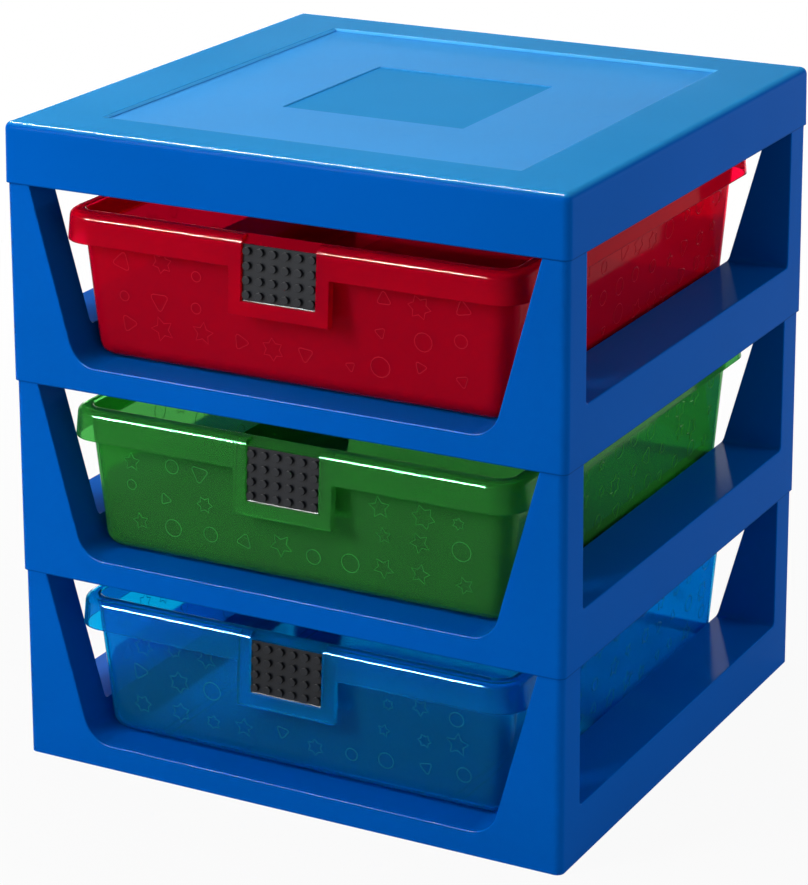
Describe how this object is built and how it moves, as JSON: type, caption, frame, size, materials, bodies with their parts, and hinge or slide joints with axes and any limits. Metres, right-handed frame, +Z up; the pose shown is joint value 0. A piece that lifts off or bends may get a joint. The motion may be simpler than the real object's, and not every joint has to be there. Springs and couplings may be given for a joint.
{
  "type": "drawer unit",
  "caption": "Stackable moulded rack with a flat top, leaning bay openings and open sides, holding translucent pull-out drawers with studded handle plates for toy storage.",
  "frame": {"origin": "on the floor under the middle of the rack", "axes": "+Z up, +X to the right seen from the front, +Y from the front to the back; the drawers pull out along -Y"},
  "size_m": [0.346, 0.331, 0.38],
  "materials": {
    "rack_plastic": "glossy moulded plastic",
    "drawer_red": "translucent glossy plastic",
    "drawer_green": "translucent glossy plastic",
    "drawer_blue": "translucent glossy plastic",
    "grip_plastic": "satin moulded plastic"
  },
  "bodies": {
    "rack": {"top_cover": "rack_plastic", "lower_frame": "rack_plastic", "middle_frame": "rack_plastic", "upper_frame": "rack_plastic"},
    "lower_drawer": {"lower_drawer": "drawer_blue", "lower_grip": "grip_plastic"},
    "middle_drawer": {"middle_drawer": "drawer_green", "middle_grip": "grip_plastic"},
    "upper_drawer": {"upper_drawer": "drawer_red", "upper_grip": "grip_plastic"}
  },
  "joints": [
    {"name": "lower_drawer_slide", "type": "slide", "parent": "rack", "child": "lower_drawer", "axis": [0, -1, 0], "range_m": [0, 0.25]},
    {"name": "middle_drawer_slide", "type": "slide", "parent": "rack", "child": "middle_drawer", "axis": [0, -1, 0], "range_m": [0, 0.25]},
    {"name": "upper_drawer_slide", "type": "slide", "parent": "rack", "child": "upper_drawer", "axis": [0, -1, 0], "range_m": [0, 0.25]}
  ]
}
